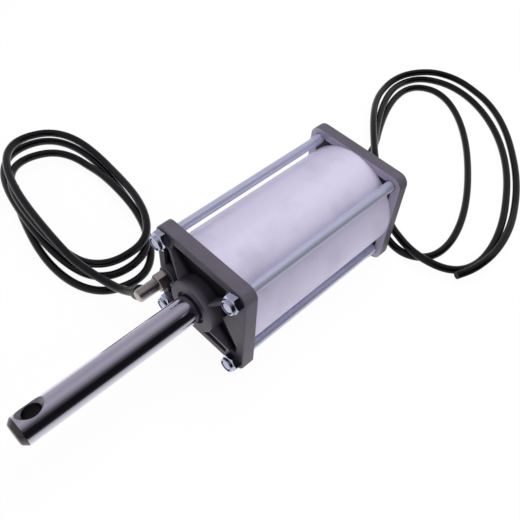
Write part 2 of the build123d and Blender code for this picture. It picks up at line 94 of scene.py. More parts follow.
class CylinderLight(bpy.types.PropertyGroup):
    """Lamps and table."""

    key_power: bpy.props.FloatProperty(
        name="Key", description="Power of the large lamp above and behind", default=9.0, min=0.0, unit="POWER"
    )
    fill_power: bpy.props.FloatProperty(
        name="Fill", description="Power of the lamp on the camera's side", default=3.0, min=0.0, unit="POWER"
    )
    sky: bpy.props.FloatProperty(name="Sky", description="Level light from all round", default=0.55, min=0.0)
    # Reach of the painted pool of light on the table that polished metal mirrors
    pool_reach: bpy.props.FloatProperty(
        name="Pool reach", description="How far towards +Y polished metal mirrors a lit table",
        default=0.22, min=0.05, unit="LENGTH",
    )
    arch_bright: bpy.props.FloatProperty(
        name="Arch bright", description="Strength of the mirrored arch where its stops say 1",
        default=0.8, min=0.0,
    )
    arch_dark: bpy.props.FloatProperty(
        name="Arch dark", description="Strength of the mirrored arch where its stops say 0",
        default=0.01, min=0.0,
    )
    table_glow: bpy.props.FloatProperty(
        name="Table white", description="Share of the table's white that no shadow takes away",
        default=0.955, min=0.0, max=1.0, subtype="FACTOR",
    )


class CylinderHoses(bpy.types.PropertyGroup):
    """The two air hoses."""

    diameter: bpy.props.FloatProperty(
        name="Diameter", description="Outside diameter of the hoses", default=0.008, min=0.001, unit="LENGTH"
    )
    spacing: bpy.props.FloatProperty(
        name="Spacing", description="Distance between the route points of the loose turns",
        default=0.012, min=0.004, unit="LENGTH",
    )
    front_ovals: bpy.props.FloatProperty(
        name="Front ovals", description="1 for elliptic front turns, less for blunter ends",
        default=0.8, min=0.5, max=1.0,
    )
    rear_ovals: bpy.props.FloatProperty(
        name="Rear ovals", description="1 for elliptic rear turns, less for blunter ends",
        default=0.9, min=0.5, max=1.0,
    )
    hump_slope: bpy.props.FloatProperty(
        name="Hump slope", description="Rise of a hose towards a crossing, per unit of length",
        default=0.12, min=0.05,
    )
    front_length: bpy.props.FloatProperty(
        name="Front hose length", description="Length from the front elbow to the bare end",
        default=1.8, unit="LENGTH",
    )
    rear_length: bpy.props.FloatProperty(
        name="Rear hose length", description="Length from the rear elbow to the bare end",
        default=2.2, unit="LENGTH",
    )
    colour: bpy.props.FloatVectorProperty(
        name="Hose colour", description="Black of the hoses",
        default=(0.002, 0.002, 0.003), size=3, subtype="COLOR",
    )


class CylinderThreads(bpy.types.PropertyGroup):
    """Threads of the tie rods."""

    diameter: bpy.props.FloatProperty(
        name="Thread", description="Diameter over the thread crests", default=0.010, min=0.001, unit="LENGTH"
    )
    shank: bpy.props.FloatProperty(
        name="Shank", description="Diameter of the rolled shank between the threads",
        default=0.0089, unit="LENGTH",
    )
    pitch: bpy.props.FloatProperty(
        name="Pitch", description="Distance between thread crests", default=0.0015, min=0.0002, unit="LENGTH"
    )
    depth: bpy.props.FloatProperty(
        name="Depth", description="Depth of the thread", default=0.00085, min=0.0001, unit="LENGTH"
    )
    rear_shown: bpy.props.FloatProperty(
        name="Rear thread", description="Thread that shows in front of the rear cover",
        default=0.010, unit="LENGTH",
    )
    front_hidden: bpy.props.FloatProperty(
        name="Front thread", description="How deep in the front cover's hole the front thread begins",
        default=0.002, unit="LENGTH",
    )
    facets: bpy.props.IntProperty(name="Facets", description="Sides round each rod", default=32, min=12)


class CylinderFinish(bpy.types.PropertyGroup):
    """Colours of the metals."""

    casting: bpy.props.FloatVectorProperty(
        name="Casting", description="Bare cast aluminium",
        default=(0.150, 0.136, 0.172), size=3, subtype="COLOR",
    )
    tube: bpy.props.FloatVectorProperty(
        name="Tube", description="Satin anodised tube",
        default=(0.640, 0.600, 0.770), size=3, subtype="COLOR",
    )
    zinc: bpy.props.FloatVectorProperty(
        name="Zinc", description="Bright zinc plate",
        default=(0.660, 0.680, 0.880), size=3, subtype="COLOR",
    )
    chrome: bpy.props.FloatVectorProperty(
        name="Chrome", description="Hard chrome of the rod",
        default=(0.680, 0.650, 0.760), size=3, subtype="COLOR",
    )
    nickel: bpy.props.FloatVectorProperty(
        name="Nickel", description="Nickel plate of the fittings",
        default=(0.500, 0.450, 0.430), size=3, subtype="COLOR",
    )


class CylinderRod(bpy.types.PropertyGroup):
    """The piston rod's turned shape."""

    shank_length: bpy.props.FloatProperty(
        name="Shank", description="Length of the chromed shank from the piston to the end",
        default=0.199, unit="LENGTH",
    )
    stud: bpy.props.FloatProperty(
        name="Stud", description="Diameter of the stud that carries the piston", default=0.016, unit="LENGTH"
    )
    end_bevel: bpy.props.FloatProperty(
        name="End bevel", description="Length of the bevel at the rod's end", default=0.0047, unit="LENGTH"
    )
    end_drop: bpy.props.FloatProperty(
        name="End drop", description="How far the bevel goes in", default=0.0038, unit="LENGTH"
    )
    end_round: bpy.props.FloatProperty(
        name="End round", description="Radius at the bevel's corners", default=0.0030, unit="LENGTH"
    )
    eye: bpy.props.FloatProperty(
        name="Eye", description="Diameter of the cross hole", default=0.016, unit="LENGTH"
    )
    eye_mouth: bpy.props.FloatProperty(
        name="Eye mouth", description="Diameter of the cross hole's countersinks",
        default=0.024, unit="LENGTH",
    )
    eye_from_end: bpy.props.FloatProperty(
        name="Eye place", description="Distance of the cross hole from the rod's end",
        default=0.0184, unit="LENGTH",
    )
    eye_lean: bpy.props.FloatProperty(
        name="Eye lean", description="Lean of the cross hole from upright",
        default=radians(22.0), subtype="ANGLE",
    )


def settings(topic):
    """Give one of the scene's property groups by the last word of its name."""
    return getattr(bpy.context.scene, f"cylinder_{topic}")


# Shader building blocks

# Where the values of a noise mostly lie, and the narrower span that the stains use
NOISE_SPAN = (0.3, 0.7)
STAIN_SPAN = (0.35, 0.65)


def new_group(name, inputs, outputs):
    """Start a node group with number sockets, or give the one that is there, with None for its ends."""
    tree = bpy.data.node_groups.get(name)
    if tree is not None:
        return tree, None, None
    tree = bpy.data.node_groups.new(name, "ShaderNodeTree")
    for way, labels in (("INPUT", inputs), ("OUTPUT", outputs)):
        for label in labels:
            tree.interface.new_socket(name=label, in_out=way, socket_type="NodeSocketFloat")
    return tree, tree.nodes.new("NodeGroupInput"), tree.nodes.new("NodeGroupOutput")


def math_node(tree, operation, first, second=0.0):
    """Add a Math node whose inputs are sockets or numbers."""
    node = tree.nodes.new("ShaderNodeMath")
    node.operation = operation
    for socket, value in zip(node.inputs, (first, second)):
        if isinstance(value, bpy.types.NodeSocket):
            tree.links.new(value, socket)
        else:
            socket.default_value = value
    return node.outputs[0]


def range_node(tree, value, span, onto=(0.0, 1.0)):
    """Map a value from a span onto another, clamped; the ends of both are numbers or sockets."""
    node = tree.nodes.new("ShaderNodeMapRange")
    tree.links.new(value, node.inputs["Value"])
    for label, number in zip(("From Min", "From Max", "To Min", "To Max"), (*span, *onto)):
        if isinstance(number, bpy.types.NodeSocket):
            tree.links.new(number, node.inputs[label])
        else:
            node.inputs[label].default_value = number
    return node.outputs["Result"]


def mix_colours(tree, share, first, second):
    """Mix two colours by a socket's share; each is a socket or a colour."""
    factor, colour_a, colour_b, result = 0, 6, 7, 2
    node = tree.nodes.new("ShaderNodeMix")
    node.data_type = "RGBA"
    tree.links.new(share, node.inputs[factor])
    for index, value in ((colour_a, first), (colour_b, second)):
        if isinstance(value, bpy.types.NodeSocket):
            tree.links.new(value, node.inputs[index])
        else:
            node.inputs[index].default_value = (*value, 1.0)
    return node.outputs[result]


def object_axes(tree):
    """Give the X, Y and Z of a place on the object."""
    split = tree.nodes.new("ShaderNodeSeparateXYZ")
    tree.links.new(tree.nodes.new("ShaderNodeTexCoord").outputs["Object"], split.inputs[0])
    return split.outputs


def noise_node(tree, vector, scale, detail, roughness=0.5):
    """Add a noise texture on given coordinates."""
    node = tree.nodes.new("ShaderNodeTexNoise")
    tree.links.new(vector, node.inputs["Vector"])
    if isinstance(scale, bpy.types.NodeSocket):
        tree.links.new(scale, node.inputs["Scale"])
    else:
        node.inputs["Scale"].default_value = scale
    node.inputs["Detail"].default_value = detail
    node.inputs["Roughness"].default_value = roughness
    return node.outputs["Fac"]


def grain_group():
    """Cast skin: coarse clouds for tone, fine pits and ripples for height."""
    tree, start, end = new_group("cast_skin", ("Cloud scale", "Pit scale"), ("Clouds", "Height"))
    if start is None:
        return tree
    place = tree.nodes.new("ShaderNodeTexCoord").outputs["Object"]
    clouds = noise_node(tree, place, start.outputs["Cloud scale"], detail=5.0, roughness=0.62)
    pits = noise_node(tree, place, start.outputs["Pit scale"], detail=3.0, roughness=0.6)
    ripples = noise_node(tree, place, scale=160.0, detail=3.0, roughness=0.55)
    pit_share = 0.35
    height = math_node(tree, "ADD", math_node(tree, "MULTIPLY", pits, pit_share), ripples)
    tree.links.new(clouds, end.inputs["Clouds"])
    tree.links.new(height, end.inputs["Height"])
    return tree


# Bands of a cover's painted shade and painted light: heights over its outer face, to half a millimetre, where
# each begins and is full
POCKET_BAND = (0.0002, -0.0035)
HUB_BAND = (0.0095, 0.004)
FACE_BAND = (-0.004, -0.002)
# Painted light on the inner face
PAINTED_LIGHT_BAND = (-0.0105, -0.0115)
# How much of the painted shade the hub's side and the outer face take
HUB_SHADE = 0.62
FACE_SHADE = 0.52
# How far a normal points along the cylinder where a face begins to count as square to it, and where it does
SQUARE_SPAN = (0.6, 0.95)


def recess_group():
    """Painted shade and light on a cover: painted shade on the pocket floors, the hub's side and the outer
    face, and painted light on the inner face.
    """
    tree, start, end = new_group("recess_painted_shade_and_light", ("Rim", "Hub"), ("Shade", "Painted light"))
    if start is None:
        return tree
    place = object_axes(tree)
    across = math_node(tree, "ABSOLUTE", place["Y"])
    upward = math_node(tree, "ABSOLUTE", place["Z"])
    reach = math_node(tree, "MAXIMUM", across, upward)
    inside = math_node(tree, "LESS_THAN", reach, start.outputs["Rim"])
    from_middle = math_node(tree, "SUBTRACT", place["X"], (TUBE[0].x + TUBE[1].x) / 2)
    outward = math_node(tree, "ABSOLUTE", from_middle)
    height = math_node(tree, "SUBTRACT", outward, (FRONT_FACE - REAR_FACE) / 2)
    # Painted shade on the pocket floors
    deep = range_node(tree, height, POCKET_BAND)
    squares = [math_node(tree, "MULTIPLY", side, side) for side in (across, upward)]
    around = math_node(tree, "SQRT", math_node(tree, "ADD", *squares))
    # Painted shade on the hub's side
    on_hub = math_node(tree, "LESS_THAN", around, start.outputs["Hub"])
    hub = math_node(tree, "MULTIPLY", on_hub, range_node(tree, height, HUB_BAND, onto=(0.0, HUB_SHADE)))
    shade = math_node(tree, "MULTIPLY", math_node(tree, "MAXIMUM", deep, hub), inside)
    # Painted shade on the outer faces that are square to the axis
    facing = tree.nodes.new("ShaderNodeSeparateXYZ")
    tree.links.new(tree.nodes.new("ShaderNodeNewGeometry").outputs["Normal"], facing.inputs[0])
    square = range_node(tree, math_node(tree, "ABSOLUTE", facing.outputs["X"]), SQUARE_SPAN)
    outer = math_node(tree, "MULTIPLY", square, range_node(tree, height, FACE_BAND, onto=(0.0, FACE_SHADE)))
    tree.links.new(math_node(tree, "MAXIMUM", shade, outer), end.inputs["Shade"])
    # Painted light on the inner face that is square to the axis
    inner = math_node(tree, "MULTIPLY", square, range_node(tree, height, PAINTED_LIGHT_BAND))
    tree.links.new(inner, end.inputs["Painted light"])
    return tree


def draw_lines_group():
    """Drawn or ground metal: lines stretched along the cylinder axis or wound round it."""
    tree, start, end = new_group("drawn_lines", ("Along", "Across"), ("Lines", "Stains"))
    if start is None:
        return tree
    place = tree.nodes.new("ShaderNodeTexCoord").outputs["Object"]
    stretch = tree.nodes.new("ShaderNodeMapping")
    sizes = tree.nodes.new("ShaderNodeCombineXYZ")
    tree.links.new(start.outputs["Along"], sizes.inputs[0])
    tree.links.new(start.outputs["Across"], sizes.inputs[1])
    tree.links.new(start.outputs["Across"], sizes.inputs[2])
    tree.links.new(place, stretch.inputs["Vector"])
    tree.links.new(sizes.outputs[0], stretch.inputs["Scale"])
    lines = noise_node(tree, stretch.outputs[0], scale=1.0, detail=3.0, roughness=0.6)
    stains = noise_node(tree, place, scale=22.0, detail=5.0, roughness=0.6)
    tree.links.new(lines, end.inputs["Lines"])
    tree.links.new(stains, end.inputs["Stains"])
    return tree


def dust_group():
    """Specks of dust and tiny nicks."""
    tree, start, end = new_group("dust_specks", ("Scale", "Amount"), ("Specks",))
    if start is None:
        return tree
    place = tree.nodes.new("ShaderNodeTexCoord").outputs["Object"]
    cells = tree.nodes.new("ShaderNodeTexVoronoi")
    tree.links.new(place, cells.inputs["Vector"])
    tree.links.new(start.outputs["Scale"], cells.inputs["Scale"])
    speck_edge = (0.04, 0.16)
    patch_edge = (0.52, 0.7)
    near = range_node(tree, cells.outputs["Distance"], speck_edge, onto=(1.0, 0.0))
    there = range_node(tree, noise_node(tree, place, scale=35.0, detail=2.0), patch_edge)
    specks = math_node(tree, "MULTIPLY", math_node(tree, "MULTIPLY", near, there), start.outputs["Amount"])
    tree.links.new(specks, end.inputs["Specks"])
    return tree


def new_material(name, colour, metallic=0.0):
    """Start a material and give its tree and its Principled shader."""
    material = bpy.data.materials.new(name)
    material.use_nodes = True
    material.diffuse_color = (*colour, 1.0)
    shader = material.node_tree.nodes["Principled BSDF"]
    shader.inputs["Base Color"].default_value = (*colour, 1.0)
    shader.inputs["Metallic"].default_value = metallic
    return material, material.node_tree, shader


def place_group(tree, group, **values):
    """Place a node group in a material with its own values."""
    node = tree.nodes.new("ShaderNodeGroup")
    node.node_tree = group
    for label, value in values.items():
        node.inputs[label.replace("_", " ").capitalize()].default_value = value
    return node


def scaled(colour, share):
    """Make a colour darker, or lighter with a share above 1."""
    return tuple(channel * share for channel in colour)


def finish_surface(tree, shader, base, noise, rough, height, bump):
    """Feed a colour, a roughness that a noise moves between two limits, and a bump (distance, strength)."""
    tree.links.new(base, shader.inputs["Base Color"])
    tree.links.new(range_node(tree, noise, NOISE_SPAN, onto=rough), shader.inputs["Roughness"])
    node = tree.nodes.new("ShaderNodeBump")
    for label, value in zip(("Distance", "Strength"), bump):
        node.inputs[label].default_value = value
    tree.links.new(height, node.inputs["Height"])
    tree.links.new(node.outputs["Normal"], shader.inputs["Normal"])


def clouded(tree, skin, colour, dark, pale, span=NOISE_SPAN):
    """Mix a dark and a pale share of a colour by a skin's clouds."""
    tone = range_node(tree, skin.outputs["Clouds"], span)
    return mix_colours(tree, tone, scaled(colour, dark), scaled(colour, pale))


def cast_aluminium():
    """Dull grey die-cast aluminium with clouded tone and a finely pitted skin, with painted shade in its
    pockets, on its hub and on its outer face, and painted light on its inner face.
    """
    bright_speck = 2.6
    # Share of the colour for the painted light on the inner face
    painted_light = 2.9
    in_shade = 0.16
    colour = tuple(settings("finish").casting)
    material, tree, shader = new_material("cast_aluminium", colour, metallic=0.55)
    skin = place_group(tree, grain_group(), cloud_scale=38.0, pit_scale=1300.0)
    dust = place_group(tree, dust_group(), scale=420.0, amount=0.6)
    recess = place_group(tree, recess_group(), rim=0.0458, hub=0.0262)
    base = clouded(tree, skin, colour, dark=0.86, pale=1.14, span=(0.3, 0.72))
    base = mix_colours(tree, dust.outputs["Specks"], base, scaled(colour, bright_speck))
    # Painted light on the inner face, then painted shade in the pockets, on the hub and on the outer face
    base = mix_colours(tree, recess.outputs["Painted light"], base, scaled(colour, painted_light))
    base = mix_colours(tree, recess.outputs["Shade"], base, scaled(colour, in_shade))
    clouds, height = skin.outputs
    finish_surface(tree, shader, base, clouds, rough=(0.42, 0.58), height=height, bump=(0.00012, 0.8))
    return material


# Where the darker streaks of a drawn metal lie in its lines, and how much they cover
STREAK_SPAN = (0.38, 0.62)
STREAK_COVER = (0.0, 0.3)


def lined_metal(name, colour, metallic, along, across, stain, rough, bump, span=STAIN_SPAN, streak=None):
    """Metal with drawn or ground lines; stain and streak are the shares of its colour that these leave."""
    material, tree, shader = new_material(name, colour, metallic)
    lines, stains = place_group(tree, draw_lines_group(), along=along, across=across).outputs
    base = mix_colours(tree, range_node(tree, stains, span), scaled(colour, stain), colour)
    if streak is not None:
        cover = range_node(tree, lines, STREAK_SPAN, onto=STREAK_COVER)
        base = mix_colours(tree, cover, base, scaled(colour, streak))
    finish_surface(tree, shader, base, lines, rough, lines, bump)
    return material


def anodised_tube():
    """Satin anodised aluminium with faint lines drawn along the tube."""
    return lined_metal(
        "anodised_tube", tuple(settings("finish").tube), metallic=0.35, along=5.0, across=700.0,
        stain=0.88, rough=(0.42, 0.5), bump=(0.00001, 0.25), span=(0.33, 0.52),
    )


def bright_zinc(name, along, across, rough, metallic):
    """Bright zinc plate over drawn or pressed steel, slightly blue, with darker streaks."""
    return lined_metal(
        name, tuple(settings("finish").zinc), metallic, along, across,
        stain=0.88, rough=rough, bump=(0.00002, 0.35), streak=0.45,
    )


def hard_chrome():
    """Polished hard chrome with hair-fine grinding marks."""
    return lined_metal(
        "hard_chrome", tuple(settings("finish").chrome), metallic=1.0, along=900.0, across=14.0,
        stain=0.93, rough=(0.07, 0.13), bump=(0.000004, 0.2),
    )


def nickel_plate():
    """Warm satin nickel on turned brass."""
    return lined_metal(
        "nickel_plate", tuple(settings("finish").nickel), metallic=1.0, along=1400.0, across=30.0,
        stain=0.7, rough=(0.16, 0.28), bump=(0.00002, 0.3),
    )


# Colour and limits of roughness of the turned metals, and of the moulded rubber and plastics
TURNED_METALS = {
    "bevel_steel": ((0.11, 0.095, 0.10), (0.22, 0.38)),
    "countersink_steel": ((0.26, 0.245, 0.29), (0.32, 0.48)),
    # The bore's near black is painted shade in the cross hole, over its rougher finish
    "bore_painted_shade": ((0.03, 0.028, 0.034), (0.42, 0.58)),
    "turned_aluminium": ((0.6, 0.6, 0.62), (0.22, 0.38)),
    "turned_bronze": ((0.45, 0.28, 0.12), (0.27, 0.43)),
    "washer_steel": ((0.4, 0.4, 0.42), (0.27, 0.43)),
}
MOULDINGS = {
    "nut_insert_nylon": ((0.02, 0.022, 0.05), (0.39, 0.53)),
    "black_rubber": ((0.012, 0.012, 0.013), (0.44, 0.58)),
    "wear_ring_plastic": ((0.12, 0.07, 0.03), (0.44, 0.58)),
    "collar_plastic": ((0.012, 0.012, 0.014), (0.32, 0.46)),
}


def turned_metal(name):
    """Plainly turned metal, for the inner pieces, the port washers and the rod's end and eye."""
    colour, rough = TURNED_METALS[name]
    return lined_metal(
        name, colour, metallic=1.0, along=1800.0, across=20.0, stain=0.85, rough=rough, bump=(0.00002, 0.4)
    )


def moulded(name):
    """Moulded rubber or plastic with a faint clouded skin and dust."""
    dust_colour = (0.2, 0.2, 0.2)
    colour, rough = MOULDINGS[name]
    material, tree, shader = new_material(name, colour)
    skin = place_group(tree, grain_group(), cloud_scale=60.0, pit_scale=900.0)
    dust = place_group(tree, dust_group(), scale=900.0, amount=0.25)
    base = clouded(tree, skin, colour, dark=0.85, pale=1.15)
    base = mix_colours(tree, dust.outputs["Specks"], base, dust_colour)
    clouds, height = skin.outputs
    finish_surface(tree, shader, base, clouds, rough, height, bump=(0.00003, 0.4))
    return material


def hose_plastic():
    """Glossy black extruded hose with very faint waviness and smears."""
    dust_colour = (0.12, 0.12, 0.13)
    colour = tuple(settings("hoses").colour)
    material, tree, shader = new_material("hose_plastic", colour)
    shader.inputs["Specular IOR Level"].default_value = 0.3
    skin = place_group(tree, grain_group(), cloud_scale=45.0, pit_scale=500.0)
    dust = place_group(tree, dust_group(), scale=700.0, amount=0.12)
    base = mix_colours(tree, dust.outputs["Specks"], colour, dust_colour)
    clouds, height = skin.outputs
    finish_surface(tree, shader, base, clouds, rough=(0.15, 0.27), height=height, bump=(0.00003, 0.3))
    return material


# Pieces


def add_object(name, data):
    """Put a new object with some data into the scene."""
    item = bpy.data.objects.new(name, data)
    bpy.context.scene.collection.objects.link(item)
    return item


def finished_mesh(name, shape):
    """Write a bmesh into a new mesh and free it."""
    mesh = bpy.data.meshes.new(name)
    shape.to_mesh(mesh)
    shape.free()
    return mesh


def dress(names, material):
    """Give CAD nodes a material."""
    for name in names:
        mesh = NODES[name].data
        mesh.materials.clear()
        mesh.materials.append(material)


# Hoses

# Where a hose leaves its elbow is in metres; its lead and the rows of its loose turns are in millimetres.
# A row has a turn's centre x and y, half length, half width and heading in degrees; a sweep is in degrees.
# The points of a lead at or below this height lie on the table
LEAD_DOWN = -50.0
FRONT_EXIT = (0.029, -0.05052, -0.01202)
FRONT_LEAD = (
    (29.0, -60.0, -21.5),
    (32.0, -76.0, -29.5),
    (36.5, -96.0, -31.0),
    (41.0, -120.0, -50.0),
)
FRONT_TURNS = (
    (-3, -184, 122, 44, -95),
    (-10, -205, 111, 52, -99),
    (-8, -207, 100, 49, -95),
    (-4, -191, 100, 47, -95),
    (-5, -215, 115, 49, -95),
    (-8, -211, 113, 50, -99),
    (-6, -197, 112, 49, -101),
    (4, -200, 101, 45, -106),
)
FRONT_SWEEP = (111, -1026)
REAR_EXIT = (-0.2322, -0.0385, -0.017)
REAR_LEAD = (
    (-232.2, -38.5, -28.0),
    (-240.2, -38.2, -42.0),
    (-254.2, -37.7, -50.0),
    (-270.0, -40.0, -50.0),
    (-286.0, -45.5, -50.0),
    (-301.0, -52.0, -50.0),
)
REAR_TURNS = (
    (-333, -5, 147, 50, 33),
    (-342, -14, 158, 64, 34),
    (-362, -12, 157, 58, 36),
    (-347, 32, 148, 79, 24),
    (-382, 7, 147, 99, 46),
    (-353, -5, 184, 89, 38),
)
REAR_SWEEP = (-99, -1072)
# Samples of a stretch at which a crossing is looked for, and neighbouring stretches that are left out
CROSSING_SAMPLES = 6
CROSSING_NEIGHBOURS = 6
# Distance that crossing hoses keep, in diameters
CROSSING_ROOM = 1.06


def between_rows(rows, at):
    """Blend the rows of a coil's measures smoothly at a place counted in rows."""
    last = len(rows) - 1
    index = min(int(at), last - 1)
    t = at - index
    picked = [rows[min(max(index + step, 0), last)] for step in (-1, 0, 1, 2)]
    blended = []
    for before, low, high, after in zip(*picked):
        slope = high - before
        bend = 2 * before - 5 * low + 4 * high - after
        twist = 3 * low - before - 3 * high + after
        blended.append(0.5 * (2 * low + slope * t + bend * t**2 + twist * t**3))
    return blended


def blunt(value, power):
    """Raise a sine or cosine to a power and keep its sign."""
    return copysign(abs(value) ** power, value)


def loose_turns(rows, sweep, oval):
    """Lay loose turns, one point to a degree, that change smoothly from row to row."""
    start, stop = sweep
    count = round(abs(stop - start))
    points = []
    for number in range(count + 1):
        share = number / count
        x, y, long, wide, heading = between_rows(rows, share * (len(rows) - 1))
        angle = radians(start + (stop - start) * share)
        turn = radians(heading)
        ahead = long * blunt(cos(angle), oval)
        aside = wide * blunt(sin(angle), oval)
        points.append((x + ahead * cos(turn) - aside * sin(turn), y + ahead * sin(turn) + aside * cos(turn)))
    return points


def evenly_spaced(points, step):
    """Pick points at even distances along a flat route."""
    picked = [points[0]]
    walked = 0.0
    for (ax, ay), (bx, by) in zip(points, points[1:]):
        run = hypot(bx - ax, by - ay)
        while walked + run >= step * len(picked):
            share = (step * len(picked) - walked) / run
            picked.append((ax + (bx - ax) * share, ay + (by - ay) * share))
        walked += run
    return picked


def lay_down(points, rest, diameter, slope):
    """Give each point of a route its height, so that later turns pass over earlier ones in long low humps."""
    heights = [rest] * len(points)
    room = diameter * CROSSING_ROOM
    for late in range(CROSSING_NEIGHBOURS, len(points) - 1):
        for sample in range(CROSSING_SAMPLES):
            share = sample / CROSSING_SAMPLES
            x = points[late][0] + (points[late + 1][0] - points[late][0]) * share
            y = points[late][1] + (points[late + 1][1] - points[late][1]) * share
            for early in range(late - CROSSING_NEIGHBOURS):
                ax, ay = points[early]
                dx = points[early + 1][0] - ax
                dy = points[early + 1][1] - ay
                along = min(max(((x - ax) * dx + (y - ay) * dy) / (dx * dx + dy * dy), 0.0), 1.0)
                apart = hypot(x - ax - dx * along, y - ay - dy * along)
                if apart >= room:
                    continue
                below = heights[early] + (heights[early + 1] - heights[early]) * along
                needed = below + sqrt(room**2 - apart**2)
                middle = late + round(share)
                for near in (middle - 1, middle, middle + 1):
                    if 0 <= near < len(points) and heights[near] < needed:
                        heights[near] = needed
        for way in (range(1, len(points)), range(len(points) - 2, -1, -1)):
            for index in way:
                other = index - 1 if way.step > 0 else index + 1
                step = hypot(points[index][0] - points[other][0], points[index][1] - points[other][1])
                heights[index] = max(heights[index], heights[other] - slope * step)
    return heights


def lay_hose(name, exit_point, lead, rows, sweep, oval, end_below, replaced):
    """Make one hose: its lead from the elbow, then its loose turns, which end below or on top."""
    hoses = settings("hoses")
    diameter = hoses.diameter
    rest = FLOOR + diameter / 2
    down = [point for point in lead if point[2] <= LEAD_DOWN]
    flat = [point[:2] for point in down] + loose_turns(rows, sweep, oval)
    flat = [(x * MM, y * MM) for x, y in flat]
    flat = evenly_spaced(flat, hoses.spacing)
    order = -1 if end_below else 1
    heights = lay_down(flat[::order], rest, diameter, hoses.hump_slope)[::order]
    route = [exit_point] + [tuple(value * MM for value in point) for point in lead[: len(lead) - len(down)]]
    route += [(x, y, z) for (x, y), z in zip(flat, heights)]
    curve = bpy.data.curves.new(name, "CURVE")
    curve.dimensions = "3D"
    curve.bevel_depth = diameter / 2
    curve.bevel_resolution = 6
    curve.resolution_u = 6
    curve.use_fill_caps = True
    spline = curve.splines.new("NURBS")
    spline.points.add(len(route) - 1)
    for point, place in zip(spline.points, route):
        point.co = (*place, 1.0)
    spline.order_u = 3
    spline.use_endpoint_u = True
    curve.materials.append(bpy.data.materials["hose_plastic"])
    hose = add_object(name, curve)
    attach(hose, "cylinder")
    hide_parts(*replaced)


# Threads

# Rings of vertices in one pitch
THREAD_RINGS = 6
# Height of a thread's uncut crest, and how far its flanks would fall over a pitch, both in depths
SHARP_CREST = 1.35
FLANK_FALL = 2.7
# Bevel of a thread's free end, as its length and its fall per unit of length
TIP_BEVEL = 0.0009
TIP_FALL = 0.9
# Length over which a thread runs out into the shank
RUN_OUT = 0.0006


def add_ring(shape, x, middle, radii):
    """Add a ring of vertices around a line along X, one for each radius."""
    ring = []
    for side, radius in enumerate(radii):
        angle = tau * side / len(radii)
        ring.append(shape.verts.new((x, middle[0] + radius * cos(angle), middle[1] + radius * sin(angle))))
    return ring


def thread_rod(shape, middle, low, high, tip):
    """Add a stretch of thread as rings that follow the helix, with a bevel at one end, its tip."""
    threads = settings("threads")
    crest = threads.diameter / 2
    count = round((high - low) / threads.pitch * THREAD_RINGS)
    rings = []
    for row in range(count + 1):
        x = low + (high - low) * row / count
        limit = crest - max(0.0, TIP_BEVEL - abs(x - tip)) * TIP_FALL
        radii = []
        for side in range(threads.facets):
            phase = (x / threads.pitch - side / threads.facets) % 1.0
            height = min(1.0, max(0.0, SHARP_CREST - FLANK_FALL * abs(phase - 0.5)))
            radii.append(min(crest - threads.depth * (1.0 - height), limit))
        rings.append(add_ring(shape, x, middle, radii))
    return rings


def plain_rings(shape, middle, stations, facets):
    """Add plain rings at (x, radius) stations."""
    return [add_ring(shape, x, middle, [radius] * facets) for x, radius in stations]


def skin_rings(shape, rings):
    """Join rings with quads and close both ends."""
    for near, far in zip(rings, rings[1:]):
        for side in range(len(near)):
            following = (side + 1) % len(near)
            face = shape.faces.new((near[side], near[following], far[following], far[side]))
            face.smooth = True
    shape.faces.new(rings[0])
    shape.faces.new(list(reversed(rings[-1])))


def tie_rod_mesh():
    """Build the four tie rods in their node's box: threaded ends and smooth rolled shanks."""
    shape = bmesh.new()
    threads = settings("threads")
    shank = threads.shank / 2
    low, high = TIE_RODS
    rear_end = TUBE[0].x + threads.rear_shown
    front_start = FRONT_FACE - threads.front_hidden
    stations = [(rear_end + RUN_OUT, shank), (TUBE[1].x, shank), (front_start - RUN_OUT, shank)]
    reach = high.y - threads.diameter / 2
    for middle in ((-reach, -reach), (-reach, reach), (reach, -reach), (reach, reach)):
        rear = thread_rod(shape, middle, low.x, rear_end, tip=low.x)
        shaft = plain_rings(shape, middle, stations, threads.facets)
        front = thread_rod(shape, middle, front_start, high.x, tip=high.x)
        skin_rings(shape, rear + shaft + front)
    bmesh.ops.recalc_face_normals(shape, faces=shape.faces)
    return finished_mesh("threaded_tie_rods", shape)


# Piston rod

ROD_FACETS = 160
EYE_FACETS = 128
ROUND_STEPS = 6
# Bevel of the stud's end
STUD_BEVEL = 0.0008
# How far the cutter of the eye reaches beyond the rod
CUTTER_REACH = 0.004
# Radius at which the end's profile stops, where one flat face closes it
END_CENTRE = 0.001
# A face of the cutter whose middle is this near the rod's axis cuts the bore
BORE_MIDDLE = 0.001
SHARP_ANGLE = radians(28)
# Least forward share of a normal on the end bevel, and how far behind the bevel its finish reaches
BEVEL_FACING = 0.3
BEVEL_MARGIN = 0.001


def rounded_profile(corners, radius):
    """Round the inner corners of an open (x, radius) profile with short arcs."""
    profile = [corners[0]]
    for before, corner, after in zip(corners, corners[1:], corners[2:]):
        corner = Vector(corner)
        inward = (Vector(before) - corner).normalized()
        onward = (Vector(after) - corner).normalized()
        half = inward.angle(onward) / 2
        reach = radius * cos(half) / sin(half)
        centre = corner + (inward + onward).normalized() * (radius / sin(half))
        start = corner + inward * reach - centre
        stop = corner + onward * reach - centre
        for step in range(ROUND_STEPS + 1):
            arm = start.lerp(stop, step / ROUND_STEPS).normalized() * radius
            profile.append(tuple(centre + arm))
    profile.append(corners[-1])
    return profile


def lathe(profile, facets, place=None):
    """Turn an (x, radius) profile about X into a closed mesh, and set it in place."""
    shape = bmesh.new()
    skin_rings(shape, plain_rings(shape, (0.0, 0.0), profile, facets))
    if place is not None:
        bmesh.ops.transform(shape, matrix=place, verts=shape.verts)
    bmesh.ops.recalc_face_normals(shape, faces=shape.faces)
    return finished_mesh("turned", shape)


